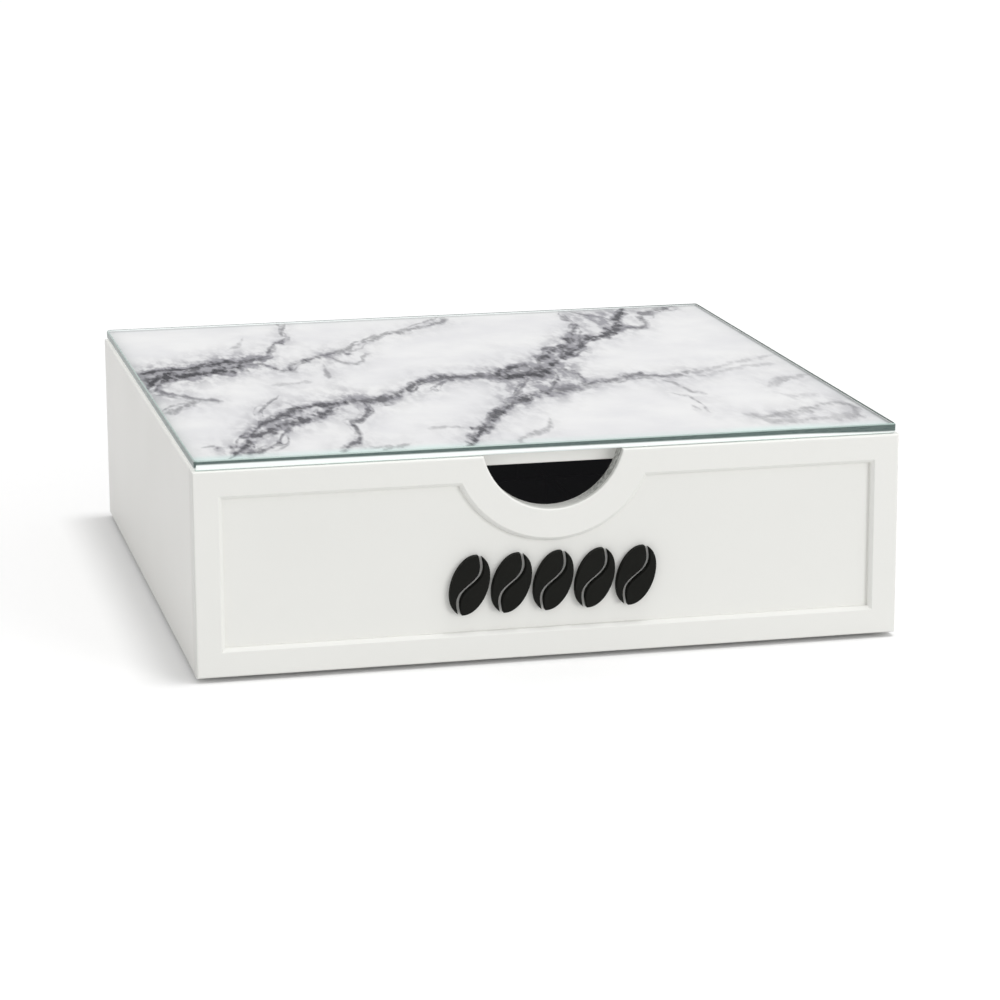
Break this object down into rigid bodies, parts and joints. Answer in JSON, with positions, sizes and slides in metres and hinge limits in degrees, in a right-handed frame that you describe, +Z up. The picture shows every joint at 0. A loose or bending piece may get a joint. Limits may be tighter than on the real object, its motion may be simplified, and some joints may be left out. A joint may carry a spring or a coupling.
{
  "type": "coffee capsule drawer",
  "caption": "Low square white case with a marble-print glass top and one pull-out drawer for coffee capsules, with a half-round finger cut-out and a framed front.",
  "frame": {"origin": "on the surface it stands on, under the middle of the 300 x 300 mm plan", "axes": "+X along the front towards the right, +Y from the drawer front towards the back, +Z up; the drawer pulls out towards -Y"},
  "size_m": [0.3, 0.3, 0.093],
  "materials": {
    "white_lacquer": "satin white lacquer on MDF",
    "black_hardboard": "matt black faced hardboard",
    "tempered_glass": "clear float glass, ground edges",
    "marble_ink": "white and grey marble print under the glass",
    "black_ornament": "matt black cut sheet",
    "foot_foam": "matt dark foam rubber",
    "clear_silicone": "clear silicone",
    "zinc_screw": "bright zinc",
    "brad_steel": "plain wire"
  },
  "bodies": {
    "case": {"bottom_board": "white_lacquer", "top_board": "white_lacquer", "left_side_board": "white_lacquer", "right_side_board": "white_lacquer", "back_board": "white_lacquer", "case_brads": "brad_steel", "foot_pad_front_left": "foot_foam", "foot_pad_front_right": "foot_foam", "foot_pad_back_left": "foot_foam", "foot_pad_back_right": "foot_foam", "glass_cushions": "clear_silicone", "marble_print": "marble_ink", "glass_plate": "tempered_glass"},
    "drawer": {"drawer_front_board": "white_lacquer", "drawer_front_frame": "white_lacquer", "bean_ornament": "black_ornament", "drawer_inner_front": "white_lacquer", "drawer_left_side": "white_lacquer", "drawer_right_side": "white_lacquer", "drawer_back": "white_lacquer", "drawer_floor": "black_hardboard", "front_screws": "zinc_screw", "drawer_brads": "brad_steel", "divider_along_1": "black_hardboard", "divider_along_2": "black_hardboard", "divider_along_3": "black_hardboard", "divider_along_4": "black_hardboard", "divider_across_1": "black_hardboard", "divider_across_2": "black_hardboard", "divider_across_3": "black_hardboard", "divider_across_4": "black_hardboard"}
  },
  "joints": [
    {"name": "drawer_slide", "type": "slide", "parent": "case", "child": "drawer", "axis": [0, -1, 0], "range_m": [0, 0.2]}
  ]
}
